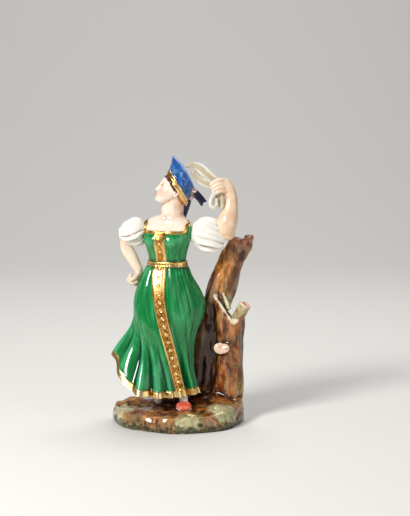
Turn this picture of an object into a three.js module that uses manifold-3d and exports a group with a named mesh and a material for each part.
// A glazed porcelain dancer in a long sleeveless dress and a tall crescent headdress. One hand is on
// the hip and the other holds up a kerchief. The figure, the tree stump behind it and the rocky foot
// were fired together, so they are one solid. Millimetres, +Z up, the front faces -Y.
import * as THREE from "three";
import { mergeVertices } from "three/addons/utils/BufferGeometryUtils.js";
import Module from "manifold-3d";

const wasm = await Module();
wasm.setup();

// Driving dimensions of the whole piece.
const HEIGHT = 205; // floor to the headdress's tip
const FOOT = { halfWidth: 51, halfDepth: 46, rim: 11, top: 13 };
const WAIST = 0.6 * HEIGHT; // height of the belt's middle
const HEM = 0.115 * HEIGHT; // the skirt's hem at the front
const NECK = 0.785 * HEIGHT; // where the neck leaves the shoulders
const HEAD = { x: -3.5, y: -1.5, z: 0.875 * HEIGHT }; // the middle of the head
const TURN = -24; // degrees that the chest turns towards the raised hip
const GAZE = { turn: 82, lift: 20 }; // degrees that the face turns aside and looks up
const MIDDLE = { x: 2.7, y: -1.22 }; // the middle of the outline, in the axes used below

// Fineness of the facets, by the number of sides round each part.
const SIDES = { foot: 34, trunk: 18, skirt: 42, body: 22, head: 16, crown: 22, sleeve: 16 };
const FACET_LOSS = 0.25; // how far the merging of small facets may move the surface

// Small helpers.
const rad = THREE.MathUtils.degToRad;
const clamp = THREE.MathUtils.clamp;
const smooth = THREE.MathUtils.smoothstep;
const bell = (x, spread) => Math.exp(-((x / spread) ** 2));
const range = (count) => Array.from({ length: count }, (_, i) => i);

// The difference between two angles in degrees, from -180 to 180.
function turnBetween(a, b) {
  return ((((a - b) % 360) + 540) % 360) - 180;
}

// A smooth curve through stations, each a row of numbers whose first is the place, read at one place.
function along(stations, place) {
  const last = stations.length - 1;
  const at = clamp(place, ...[stations[0][0], stations[last][0]].sort((a, b) => a - b));
  const rising = stations[last][0] > stations[0][0];
  let i = 0;
  while (i < last - 1 && (rising ? at > stations[i + 1][0] : at < stations[i + 1][0])) i++;
  const span = stations[i + 1][0] - stations[i][0];
  const t = (at - stations[i][0]) / span;
  const slope = (k, column) => {
    const before = stations[Math.max(k - 1, 0)];
    const after = stations[Math.min(k + 1, last)];
    return (after[column] - before[column]) / (after[0] - before[0]);
  };
  return range(stations[0].length - 1).map((k) => {
    const column = k + 1;
    const a = stations[i][column];
    const b = stations[i + 1][column];
    const da = slope(i, column) * span;
    const db = slope(i + 1, column) * span;
    return (
      a * (2 * t ** 3 - 3 * t ** 2 + 1) +
      da * (t ** 3 - 2 * t ** 2 + t) +
      b * (3 * t ** 2 - 2 * t ** 3) +
      db * (t ** 3 - t ** 2)
    );
  });
}

// The reach of an oval in one direction, with its own half axis on each of its four sides. Angle 0 is
// the front and 90 is +X.
function ovalReach(angle, { left, right, front, back }) {
  const across = Math.sin(rad(angle));
  const ahead = Math.cos(rad(angle));
  return 1 / Math.hypot(across / (across > 0 ? right : left), ahead / (ahead > 0 ? front : back));
}

// A point at a distance from an upright axis.
function around(centre, angle, reach, z) {
  return new THREE.Vector3(
    centre[0] + reach * Math.sin(rad(angle)),
    centre[1] - reach * Math.cos(rad(angle)),
    z,
  );
}

// The closed skin through rings of points, each end drawn together to its middle, as a solid.
function skin(rings) {
  const sides = rings[0].length;
  const middle = (ring) =>
    ring.reduce((sum, p) => sum.add(p), new THREE.Vector3()).divideScalar(ring.length);
  const points = [...rings.flat(), middle(rings[0]), middle(rings.at(-1))];
  const last = (rings.length - 1) * sides;
  const faces = [];
  for (const i of range(sides)) {
    const j = (i + 1) % sides;
    for (let row = 0; row < last; row += sides) {
      faces.push([row + i, row + j, row + j + sides], [row + i, row + j + sides, row + i + sides]);
    }
    faces.push([points.length - 2, j, i], [points.length - 1, last + i, last + j]);
  }
  const volume = faces.reduce(
    (sum, [a, b, c]) => sum + points[a].dot(points[b].clone().cross(points[c])),
    0,
  );
  const outward = volume > 0 ? faces : faces.map(([a, b, c]) => [a, c, b]);
  const geometry = new THREE.BufferGeometry().setFromPoints(points);
  geometry.setIndex(outward.flat());
  return solid(geometry);
}

// A geometry as a manifold solid.
function solid(geometry) {
  geometry.deleteAttribute("normal");
  geometry.deleteAttribute("uv");
  const merged = mergeVertices(geometry, 1e-4);
  const mesh = new wasm.Mesh({
    numProp: 3,
    vertProperties: merged.attributes.position.array,
    triVerts: new Uint32Array(merged.index.array),
  });
  return new wasm.Manifold(mesh);
}

const join = (pieces) => pieces.reduce((whole, piece) => whole.add(piece));

// A rounded limb along a smooth path. Each station is [x, y, z, half width, half depth]; the width
// lies along the direction `wide`, and relief(angle, share of the length) stands proud in millimetres.
function limb(stations, { sides = 12, steps = 8, wide = [1, 0, 0], relief = () => 0 } = {}) {
  const curve = (pick) => new THREE.CatmullRomCurve3(stations.map(pick), false, "catmullrom", 0.5);
  const path = curve((s) => new THREE.Vector3(s[0], s[1], s[2]));
  const size = curve((s) => new THREE.Vector3(s[3], s[4] ?? s[3], 0));
  const ring = (t, ahead, shrink) => {
    const tangent = path.getTangent(t);
    const across = new THREE.Vector3(...wide);
    across.addScaledVector(tangent, -across.dot(tangent)).normalize();
    const up = new THREE.Vector3().crossVectors(tangent, across);
    const centre = path.getPoint(t).addScaledVector(tangent, ahead);
    const { x: width, y: depth } = size.getPoint(t);
    return range(sides).map((i) => {
      const angle = (2 * Math.PI * i) / sides;
      const proud = 1 + relief(angle, t) / Math.max(width, depth);
      return centre
        .clone()
        .addScaledVector(across, width * shrink * proud * Math.cos(angle))
        .addScaledVector(up, depth * shrink * proud * Math.sin(angle));
    });
  };
  // Each end is rounded by one smaller ring a little way beyond it.
  const [beyond, smaller] = [0.85, 0.5];
  const endRadius = (t) => Math.min(size.getPoint(t).x, size.getPoint(t).y);
  const body = range(steps + 1).map((i) => ring(i / steps, 0, 1));
  const start = ring(0, -beyond * endRadius(0), smaller);
  const end = ring(1, beyond * endRadius(1), smaller);
  return skin([start, ...body, end]);
}

// An egg-shaped solid with three half axes.
function egg(centre, halves, { sides = 12, rows = 8, tilt = [0, 0, 0] } = {}) {
  const geometry = new THREE.SphereGeometry(1, sides, rows);
  const turn = new THREE.Quaternion().setFromEuler(new THREE.Euler(...tilt.map(rad)));
  geometry.applyMatrix4(
    new THREE.Matrix4().compose(
      new THREE.Vector3(...centre),
      turn,
      new THREE.Vector3(...halves),
    ),
  );
  return solid(geometry);
}

// The rocky foot: a low oval mound with an uneven rim, higher under the stump and at the far left.
const MOUNDS = [
  { x: 34, y: 10, rise: 12, spread: 19 }, // roots of the stump
  { x: -38, y: 6, rise: 5, spread: 11 },
  { x: 29, y: -24, rise: 4, spread: 9 },
  { x: -4, y: 6, rise: 9, spread: 15 }, // under the skirt
  { x: -18, y: -30, rise: 1.5, spread: 9 },
];

function footTop(x, y) {
  const lumps = MOUNDS.map((m) => m.rise * bell(Math.hypot(x - m.x, y - m.y), m.spread));
  return FOOT.top + lumps.reduce((sum, rise) => sum + rise, 0);
}

function footReach(angle) {
  const wander = 0.022 * Math.sin(rad(3 * angle + 40)) + 0.014 * Math.sin(rad(7 * angle + 120));
  const oval = { left: FOOT.halfWidth, right: FOOT.halfWidth };
  return ovalReach(angle, { ...oval, front: FOOT.halfDepth, back: FOOT.halfDepth }) * (1 + wander);
}

function foot() {
  const rim = [
    [-2.5, 0],
    [-0.8, 1.4],
    [0, 0.42 * FOOT.rim],
    [-0.9, 0.8 * FOOT.rim],
  ];
  const shares = [0.92, 0.74, 0.5, 0.25];
  const angles = range(SIDES.foot).map((i) => (360 * i) / SIDES.foot);
  const rimRings = rim.map(([inset, z]) =>
    angles.map((angle) => around([0, 0], angle, footReach(angle) + inset, z)),
  );
  const topRings = shares.map((share) =>
    angles.map((angle) => {
      const p = around([0, 0], angle, footReach(angle) * share, 0);
      return p.setZ(footTop(p.x, p.y) - 1.6 * smooth(share, 0.7, 1));
    }),
  );
  return skin([...rimRings, ...topRings]);
}

// The stump is forked: a broad trunk in front that ends in a torn lip, and a stem behind that rises
// past the skirt and leans out to the elbow. A side branch and a knot are sawn off, and knobs of
// broken wood stand round the top.
const TRUNK = [
  // middle x, middle y, height, half width, half depth
  [36, 8, 8, 15, 13],
  [37.5, 8.5, 24, 12.3, 11],
  [38.4, 9, 42, 11.2, 10.2],
  [38.6, 9, 58, 11.3, 10],
  [38.6, 8.8, 70, 12.2, 10.2],
  [38.5, 8.5, 77, 12.4, 10],
];
const STEM = [
  [20, 14, 12, 13, 10],
  [19, 14.5, 40, 10, 8.5],
  [22, 14.5, 70, 10, 8.5],
  [28.5, 14, 90, 10.5, 8.5],
  [33.6, 12.5, 104, 11.1, 8.7],
  [39, 11, 120, 9.8, 8.3],
  [47, 9, 138.5, 10.2, 8.8],
];
const LIP = { lowest: 42.2, leftRise: 1.45, rightRise: 0.7, most: 20, from: 45 };
const KNOBS = { angles: [-65, -20, 30, 85, 150, 215], size: 3.1, uneven: 0.7, inset: 2.1, lift: 1.6 };

function lipRise(x) {
  const off = x - LIP.lowest;
  return Math.min(off > 0 ? LIP.rightRise * off : -LIP.leftRise * off, LIP.most);
}

function trunk() {
  const rows = 7;
  const [bottom, top] = [TRUNK[0][2], TRUNK.at(-1)[2]];
  const levels = TRUNK.map(([x, y, z, width, depth]) => [z, x, y, width, depth]);
  const ring = (z, shrink, sink) => {
    const [x, y, width, depth] = along(levels, z);
    const torn = smooth(z, LIP.from, top);
    return range(SIDES.trunk).map((i) => {
      const angle = (2 * Math.PI * i) / SIDES.trunk;
      const bark = 1 + 0.035 * Math.sin(5 * angle + z / 9) + 0.03 * Math.sin(9 * angle - z / 14);
      const px = x + width * shrink * bark * Math.cos(angle);
      const py = y + depth * shrink * bark * Math.sin(angle);
      return new THREE.Vector3(px, py, z + torn * lipRise(px) - sink);
    });
  };
  const wall = range(rows + 1).map((i) => ring(bottom + ((top - bottom) * i) / rows, 1, 0));
  return skin([...wall, ring(top, 0.86, -0.6), ring(top, 0.7, 4), ring(top, 0.3, 6)]);
}

function stem() {
  const grooves = (angle, t) => 0.5 * Math.sin(5 * angle + 5 * t) + 0.35 * Math.sin(8 * angle - 7 * t);
  return limb(STEM, { sides: 16, steps: 8, relief: grooves });
}

function stump() {
  const branch = limb(
    [
      [42, 5, 73, 5.6],
      [46, 3, 82, 4.7],
      [50.8, 0.5, 90.6, 4.7],
    ],
    { sides: 10, steps: 3 },
  );
  const knot = limb(
    [
      [34, 3, 58, 6.2, 4.6],
      [32.6, -3.4, 60, 5.9, 4.2],
    ],
    { sides: 10, steps: 2 },
  );
  const [x, y, z, width, depth] = STEM.at(-1);
  const knobs = KNOBS.angles.map((angle, i) => {
    const size = KNOBS.size + KNOBS.uneven * Math.sin(2.3 * i + 1);
    const across = Math.cos(rad(angle)) * (width - KNOBS.inset);
    const ahead = Math.sin(rad(angle)) * (depth - KNOBS.inset);
    const rise = KNOBS.lift + 0.1 * across;
    return egg([x + across, y + ahead, z + rise], [size, size, size], { sides: 6, rows: 4 });
  });
  return join([trunk(), stem(), branch, knot, ...knobs]);
}

// The skirt hangs from the belt. Each angle round the waist runs down its own line to the hem, and
// the lines fan out, so that the gilt band swings across and the left side flies out.
const SKIRT_AXIS = [-8.2, -0.5];
const BAND = { angle: -25, swing: 52, reach: 110, proud: 0.7, edge: 0.7 };
const BAND_HALVES = [
  // share of the way down, half width in degrees round the waist
  [0, 22],
  [0.25, 13],
  [0.55, 11],
  [1, 8.5],
];
const SKIRT_LEVELS = [
  // height, left, right, front, back
  [WAIST, 15.4, 15, 11.8, 10.6],
  [114.5, 19.8, 17.6, 15.5, 14],
  [101, 25, 25.2, 19, 17],
  [92, 26.3, 28.2, 20.5, 18],
  [81, 25.2, 27, 21.5, 18],
  [70, 22.8, 22.4, 22, 17.5],
  [58, 21, 19.8, 22.3, 17.5],
  [46, 20.5, 19, 23, 18],
  [34, 21.5, 20.5, 24.5, 19.5],
  [20, 24, 25.5, 27.5, 22],
];
const FLARE = {
  angle: -98,
  reach: { most: 23, before: 51, behind: 60 },
  lift: { most: 30, before: 31, behind: 58 },
};
// Each fold: angle at the waist, spread, rise, and the share of the way down where it begins.
const FOLDS = [
  [-41, 3.5, 0.8, 0.55],
  [-46, 4, -1.2, 0.5],
  [-54, 5, 1.1, 0.55],
  [-63, 5, -1.8, 0.5],
  [-78, 10, 1.6, 0.45],
  [-94, 6, -2.4, 0.45],
  [-108, 7, 2.0, 0.5],
  [-124, 7, -1.8, 0.5],
  [-140, 8, 1.4, 0.5],
  [-158, 8, -1.4, 0.5],
  [-4, 9, -2.2, 0.38],
  [14, 6, 0.9, 0.3],
  [32, 9, 1.4, 0.35],
  [52, 7, -1.5, 0.35],
  [68, 7, 0.9, 0.35],
  [86, 8, -1.2, 0.35],
  [108, 9, 1.2, 0.35],
  [132, 9, -1.4, 0.35],
  [156, 9, 1.2, 0.35],
  [178, 9, -1.3, 0.35],
];

// How much of the flare's reach or lift is left at an angle.
function flareShare({ most, before, behind }, angle) {
  const off = turnBetween(angle, FLARE.angle);
  return most * bell(off, off > 0 ? before : behind);
}

function hemHeight(angle) {
  return HEM - 1.5 + flareShare(FLARE.lift, angle);
}

function flareReach(angle) {
  return flareShare(FLARE.reach, angle);
}

function skirtRelief(angle, share) {
  const fading = smooth(share, 0, 0.05) * (1 - smooth(share, 0.12, 0.4));
  const gathers = 0.5 * Math.cos(rad(24 * angle)) * fading;
  const folds = FOLDS.reduce((sum, [at, spread, rise, from]) => {
    const deep = smooth(share, from, 1) * 0.75 + smooth(share, from, from + 0.15) * 0.25;
    return sum + rise * bell(turnBetween(angle, at), spread) * deep;
  }, 0);
  const knee = 2.2 * bell(turnBetween(angle, -66), 24) * bell(share - 0.52, 0.16);
  const thigh = 1.2 * bell(turnBetween(angle, 28), 24) * bell(share - 0.34, 0.14);
  return gathers + folds + knee + thigh;
}

// The lines are given by their angle at the waist. Those inside the band close up as it narrows.
function lineAngle(line, share) {
  const off = turnBetween(line, BAND.angle);
  const [waistHalf, half] = [BAND_HALVES[0][1], along(BAND_HALVES, share)[0]];
  const beyond = Math.max(Math.abs(off) - waistHalf, 0) / (180 - waistHalf);
  const within = Math.min(Math.abs(off), waistHalf) / waistHalf;
  return BAND.angle + Math.sign(off) * (half * within + (180 - half) * beyond);
}

function skirtPoint(line, share) {
  const own = lineAngle(line, share);
  const off = clamp(turnBetween(own, BAND.angle), -BAND.reach, BAND.reach);
  const fan = Math.cos(rad((off * 90) / BAND.reach)) ** 2;
  const angle = own + BAND.swing * fan * smooth(share, 0, 1.15);
  const top = SKIRT_LEVELS[0][0];
  const z = top + (hemHeight(angle) - top) * share;
  const [left, right, front, back] = along(SKIRT_LEVELS, z);
  const flare = flareReach(angle) * smooth(share, 0.45, 1.05) ** 1.6;
  const inBand = Math.abs(turnBetween(line, BAND.angle)) < BAND_HALVES[0][1];
  const relief = inBand ? BAND.proud : skirtRelief(own, share);
  const reach = ovalReach(angle, { left, right, front, back }) + flare + relief;
  return around(SKIRT_AXIS, angle, reach, z);
}

// The lines of the skirt: five across the band, and the rest spread evenly round.
function skirtLines() {
  const half = BAND_HALVES[0][1];
  const [inside, outside] = [half - BAND.edge, half + BAND.edge];
  const across = [-1, -0.5, 0, 0.5, 1].map((share) => BAND.angle + share * inside);
  const rest = range(SIDES.skirt + 1).map(
    (i) => BAND.angle + outside + ((360 - 2 * outside) * i) / SIDES.skirt,
  );
  return [...across, ...rest];
}

function skirt() {
  const shares = [0, 0.06, 0.13, 0.21, 0.31, 0.42, 0.54, 0.66, 0.78, 0.88, 0.95, 1];
  const angles = skirtLines();
  const outer = shares.map((share) => angles.map((angle) => skirtPoint(angle, share)));
  const axis = new THREE.Vector3(...SKIRT_AXIS, 0);
  // The underside turns in at the hem and rises to a vault round the legs.
  const under = [
    [0, 0.93, 0.3],
    [0.5, 0.72, 9],
    [1, 0.3, 15],
  ].map(([level, share, rise]) =>
    angles.map((angle) => {
      const edge = skirtPoint(angle, 1);
      const z = edge.z + (HEM + 2 - edge.z) * level + rise;
      return edge.sub(axis).multiplyScalar(share).add(axis).setZ(z);
    }),
  );
  return skin([...outer, ...under]);
}

// The legs show only under the hem: a stocking and a shoe in front, and the other shoe's toe.
function legs() {
  const core = limb(
    [
      [-5, 3, 20, 14, 12],
      [-7, 1, 40, 11, 10],
    ],
    { sides: 14, steps: 2 },
  );
  const stocking = limb(
    [
      [-1, -12, 44, 5],
      [2.5, -17.5, 30, 4.2],
      [4.2, -21.5, 18, 3.3],
    ],
    { sides: 10, steps: 4 },
  );
  const shoe = limb(
    [
      [3.6, -19.5, 16.6, 3.4, 3.2],
      [4.8, -24, 16.4, 4.2, 3],
      [6.4, -29.5, 15, 3.9, 2.1],
    ],
    { sides: 12, steps: 4 },
  );
  const toe = limb(
    [
      [-17, -6, 17, 3.4, 3],
      [-20, -13, 16, 3.8, 2.4],
    ],
    { sides: 10, steps: 2 },
  );
  const farLeg = limb(
    [
      [-12, -2, 40, 4.5],
      [-16, -4, 17, 3.4],
    ],
    { sides: 8, steps: 2 },
  );
  return join([core, stocking, shoe, farLeg, toe]);
}

// The chest: ovals turned towards the raised hip, with the bust, up to the shoulders and the neck.
const CHEST_LEVELS = [
  // height, middle x, middle y, half width, front, back
  [112, -8.2, -0.5, 16, 12.5, 11],
  [WAIST - 1, -8.5, -0.5, 15.6, 12, 10.5],
  [127, -8.6, -0.5, 15, 11.6, 10],
  [134, -8.8, -0.5, 16.8, 12.6, 10],
  [141, -9, -0.5, 19.2, 13, 10],
  [148, -9, -0.3, 20.2, 11.4, 10],
  [152.5, -8.6, 0, 19.8, 9.4, 9.2],
  [155.5, -8, 0.4, 17.6, 8.2, 8.2],
  [158.5, -6.8, 0.8, 13.2, 7.6, 7.6],
  [NECK, -5.5, 0.6, 9.4, 7.6, 7.6],
  [166, -4.6, 0, 8.5, 8, 8],
  [174, -4.2, -0.6, 8.3, 7.8, 8],
];

const CHEST_ROWS = [
  // height, proud of the body: the belt stands out
  [114, -1],
  [WAIST - 2.4, 0.4],
  [WAIST - 1.8, 1.3],
  [WAIST + 1.8, 1.3],
  [WAIST + 2.4, 0],
  ...[129.5, 134, 138, 142, 146, 149.5, 152.5, 155, 157.5, NECK, 167, 173].map((z) => [z, 0]),
];

function chest() {
  const angles = range(SIDES.body).map((i) => (360 * i) / SIDES.body);
  return skin(
    CHEST_ROWS.map(([z, proud]) => {
      const [x, y, half, front, back] = along(CHEST_LEVELS, z);
      return angles.map((angle) => {
        const own = turnBetween(angle, TURN);
        const bust = 2.4 * bell(Math.abs(own) - 34, 24) * bell(z - 140.5, 6.5);
        const reach = ovalReach(own, { left: half, right: half, front, back }) + bust + proud;
        return around([x, y], angle, reach, z);
      });
    }),
  );
}

// The head in its own frame: x to the figure's left, y to the back of the head, z to the crown.
const TO_HEAD = new THREE.Matrix4()
  .makeTranslation(HEAD.x, HEAD.y, HEAD.z)
  .multiply(new THREE.Matrix4().makeRotationZ(rad(-GAZE.turn)))
  .multiply(new THREE.Matrix4().makeRotationX(rad(-GAZE.lift)));

// Places a solid that was made in the head's frame.
function onHead(piece) {
  return piece.transform(TO_HEAD.elements);
}

// The head is a skin through level ovals, with plain, even features on a grid of thirds.
const HEAD_LEVELS = [
  // height, front, back, half width
  [-12.9, -9, -4.6, 2.2],
  [-12.1, -10.3, -3, 4.4],
  [-10, -10.9, -0.5, 6.4],
  [-7, -10.9, 3.5, 7.9],
  [-3.5, -11.2, 7.2, 8.9],
  [0, -10.9, 9.8, 9.5],
  [4, -11, 11, 9.7],
  [8, -9.2, 11, 9.2],
  [11, -6.2, 9.8, 7.4],
  [12.9, -2, 6.6, 4.2],
];

function face() {
  const rows = 11;
  const [bottom, top] = [HEAD_LEVELS[0][0], HEAD_LEVELS.at(-1)[0]];
  const rings = range(rows + 1).map((row) => {
    const z = bottom + ((top - bottom) * row) / rows;
    const [front, back, half] = along(HEAD_LEVELS, z);
    return range(SIDES.head).map((i) => {
      const angle = (2 * Math.PI * i) / SIDES.head;
      const depth = (back - front) / 2;
      const y = (front + back) / 2 - depth * Math.cos(angle);
      return new THREE.Vector3(half * Math.sin(angle), y, z);
    });
  });
  const nose = limb(
    [
      [0, -10, 1.2, 0.9],
      [0, -11.2, -1.8, 1.2],
      [0, -12, -4, 1.7, 1.3],
    ],
    { sides: 6, steps: 2 },
  );
  const ears = [-1, 1].map((side) =>
    egg([side * 9.2, 1.2, -1.9], [1.3, 2.2, 3.6], { sides: 8, rows: 6, tilt: [-12, 0, 0] }),
  );
  return join([skin(rings), nose, ...ears]);
}

// The headdress: a gilt band that slopes down to the nape, and on it a tall stiff crown. Each edge
// falls steadily towards the back, and the crown leans out a little as it rises.
const CROWN = { radius: 10.5, behind: 2, dome: 1.8 };
const CROWN_EDGES = {
  // height over the head's middle, and fall per millimetre towards the back
  low: [0.6, 0.73],
  band: [5.7, 0.87],
  rim: [17, 0.84],
};
const CROWN_ROWS = [
  // from edge, to edge, share of the way, lean outward
  ["low", "band", -0.2, -3],
  ["low", "band", 0, 0.5],
  ["low", "band", 1, 0.6],
  ["band", "rim", 0.06, 0.1],
  ["band", "rim", 0.45, 0.5],
  ["band", "rim", 0.85, 1.5],
  ["band", "rim", 1, 0.6],
  ["band", "rim", 0.8, -1.6],
  ["band", "rim", 0.62, -5.5],
];

function crown() {
  const angles = range(SIDES.crown).map((i) => (360 * i) / SIDES.crown);
  const height = ([z, fall], y) => z - fall * y;
  return skin(
    CROWN_ROWS.map(([from, to, share, lean]) =>
      angles.map((angle) => {
        const y = CROWN.behind - CROWN.radius * Math.cos(rad(angle));
        const bottom = height(CROWN_EDGES[from], y);
        const rise = to === "rim" ? CROWN.dome * Math.sin(rad(angle)) ** 2 : 0;
        const top = height(CROWN_EDGES[to], y) + rise;
        const z = bottom + (top - bottom) * share;
        return around([0, CROWN.behind], angle, CROWN.radius + lean, z);
      }),
    ),
  );
}

function bow() {
  const loops = [-1, 1].map((side) =>
    egg([side * 2.6, 13, 2.2], [3.6, 1.9, 2.6], { sides: 7, rows: 5, tilt: [0, side * 20, 0] }),
  );
  return join(loops);
}

// Two ribbons fall from the bow: one flies out to a free end and one lies down the back.
function ribbons() {
  const free = limb(
    [
      [8, 1.5, 177.5, 2.4, 1.3],
      [14, 3.5, 175, 2.8, 1.2],
      [20.2, 6, 170.6, 2.3, 1.1],
    ],
    { sides: 8, steps: 4, wide: [0.4, 0.2, 1] },
  );
  const lying = limb(
    [
      [8, 3, 177, 2, 1.5],
      [6, 8.5, 168, 2.6, 1.8],
      [1, 9.5, 156, 3, 1.8],
      [-3, 10, 143, 3.2, 1.6],
    ],
    { sides: 8, steps: 6, wide: [1, 0, 0.2] },
  );
  return join([free, lying]);
}

// A puffed sleeve: folds run from the armhole to the cuff and draw in at both.
function sleeve(stations, count, wide) {
  const folds = (angle, t) => 0.75 * Math.cos(count * angle + 1) * Math.sin(Math.PI * clamp(t, 0.08, 0.92));
  return limb(stations, { sides: SIDES.sleeve, steps: 6, wide, relief: folds });
}

// The arm on the hip: the hand is bent back at the wrist and its fingers curl.
function hipArm() {
  const puff = sleeve(
    [
      [-24, 5, 149, 7.4, 7],
      [-29, 5.2, 147.8, 9.4, 8.6],
      [-35, 5.6, 145.6, 10.6, 9.6],
      [-40.4, 6, 142.8, 9.4, 8.6],
      [-43.4, 6.4, 140.6, 6.4, 6],
    ],
    5,
    [0.3, 0, 1],
  );
  const forearm = limb(
    [
      [-41.4, 7, 139.5, 5, 4.6],
      [-40, 7, 133.5, 4.9, 4.5],
      [-35.4, 6, 125.5, 4.5, 4.1],
      [-31, 4.5, 117.5, 3.4, 3.2],
    ],
    { sides: 10, steps: 5 },
  );
  const palm = limb(
    [
      [-31, 4.5, 117, 3.2, 3],
      [-31.4, 3.8, 111.5, 2.9, 3.8],
      [-33.8, 3, 107.2, 2.6, 4],
    ],
    { sides: 10, steps: 3, wide: [1, 0, 0.3] },
  );
  const fingers = range(4).map((i) => {
    const y = 6.2 - 2.1 * i;
    const bend = 0.35 * Math.abs(i - 1.5);
    return limb(
      [
        [-33, y, 107.4, 1.4],
        [-36.8, y, 105.9 + bend, 1.3],
        [-39, y - 0.2, 108 + bend, 1.2],
        [-38, y - 0.4, 111 + bend, 1],
      ],
      { sides: 6, steps: 3, wide: [0, 1, 0] },
    );
  });
  return join([puff, forearm, palm, ...fingers]);
}

// The raised arm: elbow on the stump, forearm upright, hand closed over the kerchief.
function raisedArm() {
  const puff = sleeve(
    [
      [12, -4, 148.6, 8, 7],
      [15.6, -4.8, 148, 11.6, 9.6],
      [22.5, -5.6, 146.2, 13.4, 11],
      [29.5, -5.6, 144, 11.6, 10],
      [34, -5, 142.6, 8.4, 7.6],
    ],
    6,
    [0, 0, 1],
  );
  const forearm = limb(
    [
      [30, -5, 145.5, 6.6, 6.2],
      [34.8, -5, 147.4, 7.3, 6.6],
      [37.8, -5, 155, 7, 6.2],
      [39.6, -5, 164, 6, 5.6],
      [39.9, -5.6, 172.5, 4.8, 4.4],
      [39, -6.4, 177.5, 4.6, 3.7],
    ],
    { sides: 12, steps: 6 },
  );
  const palm = limb(
    [
      [39.4, -6.2, 175.5, 4.8, 3.8],
      [37, -7.2, 180.6, 5.4, 3.4],
      [34, -8, 184.2, 5.2, 3],
    ],
    { sides: 10, steps: 3, wide: [0.75, 0, 0.6] },
  );
  const fingers = range(4).map((i) => {
    const down = 2.5 * i;
    return limb(
      [
        [34.6 + 0.7 * i, -9.4, 186.8 - down, 1.8],
        [29.6 + 0.8 * i, -11.2, 187 - down, 1.6],
        [25.6 + 0.9 * i, -10.6, 185 - 0.88 * down, 1.4],
        [23.6 + 1.1 * i, -8.2, 183.2 - 0.8 * down, 1.2],
      ],
      { sides: 6, steps: 3 },
    );
  });
  const thumb = limb(
    [
      [36, -4.5, 180, 2],
      [30.5, -3.4, 181.5, 1.7],
      [26, -4.2, 181, 1.3],
    ],
    { sides: 6, steps: 3 },
  );
  return join([puff, forearm, palm, ...fingers, thumb]);
}

// The kerchief: two folds fly from the fist towards the headdress, and two rolls hang below it.
function kerchief() {
  const high = limb(
    [
      [31, -7, 184.5, 2.6, 2],
      [26, -7, 187.4, 2.8, 1.8],
      [20.4, -6.6, 191.6, 3.2, 1.5],
      [15.6, -6.2, 196.2, 3, 1.4],
      [10, -5.8, 198, 1.8, 1.2],
      [5.8, -5.4, 197, 0.9, 0.9],
    ],
    { sides: 8, steps: 8, wide: [0.5, 0, 0.8] },
  );
  const low = limb(
    [
      [30, -8, 181, 2.4, 2],
      [24, -8.6, 183.6, 2.6, 1.5],
      [18.4, -8.6, 186.2, 2.8, 1.3],
      [13.4, -7.6, 190.6, 1.8, 1.2],
      [9.8, -6.6, 194, 1.3, 1],
    ],
    { sides: 8, steps: 7, wide: [0.4, 0, 0.9] },
  );
  const bridge = limb(
    [
      [15.5, -7, 194, 1, 1],
      [12.2, -7.2, 192, 1, 1],
    ],
    { sides: 6, steps: 1 },
  );
  const rolls = [
    [
      [30, -7.5, 180, 2, 2],
      [28.4, -8.4, 174, 3, 2.2],
      [26.8, -8.8, 169, 4, 2.6],
    ],
    [
      [31.5, -6.5, 179, 2, 2],
      [32, -7, 173.5, 2.2, 2],
      [32, -7.4, 169.4, 2.6, 2.2],
    ],
  ].map((stations) => limb(stations, { sides: 8, steps: 3 }));
  return join([high, low, bridge, ...rolls]);
}

function dancer() {
  const figure = join([
    chest(),
    skirt(),
    legs(),
    onHead(face()),
    onHead(crown()),
    onHead(bow()),
    ribbons(),
    hipArm(),
    raisedArm(),
    kerchief(),
  ]);
  return join([foot(), stump(), figure]);
}

// The finished solid as a mesh, moved so that the middle of its outline on the floor is the origin.
// Crumbs and sealed bubbles that the merging of facets leaves are dropped.
function castMesh(whole, name, material) {
  const bodies = whole.simplify(FACET_LOSS).decompose();
  const mesh = bodies.reduce((a, b) => (a.volume() > b.volume() ? a : b)).getMesh();
  const points = range(mesh.numVert).map(
    (i) => new THREE.Vector3(...mesh.vertProperties.subarray(3 * i, 3 * i + 3)),
  );
  const geometry = new THREE.BufferGeometry().setFromPoints(points);
  geometry.setIndex([...mesh.triVerts]);
  geometry.translate(-MIDDLE.x, -MIDDLE.y, 0);
  geometry.computeBoundingBox();
  geometry.computeVertexNormals();
  const piece = new THREE.Mesh(geometry, material);
  piece.name = name;
  return piece;
}

const porcelain = new THREE.MeshStandardMaterial({ color: 0x2f8a4e, roughness: 0.15, metalness: 0 });

const figurine = new THREE.Group();
figurine.add(castMesh(dancer(), "dancer_figurine", porcelain));

export default figurine;
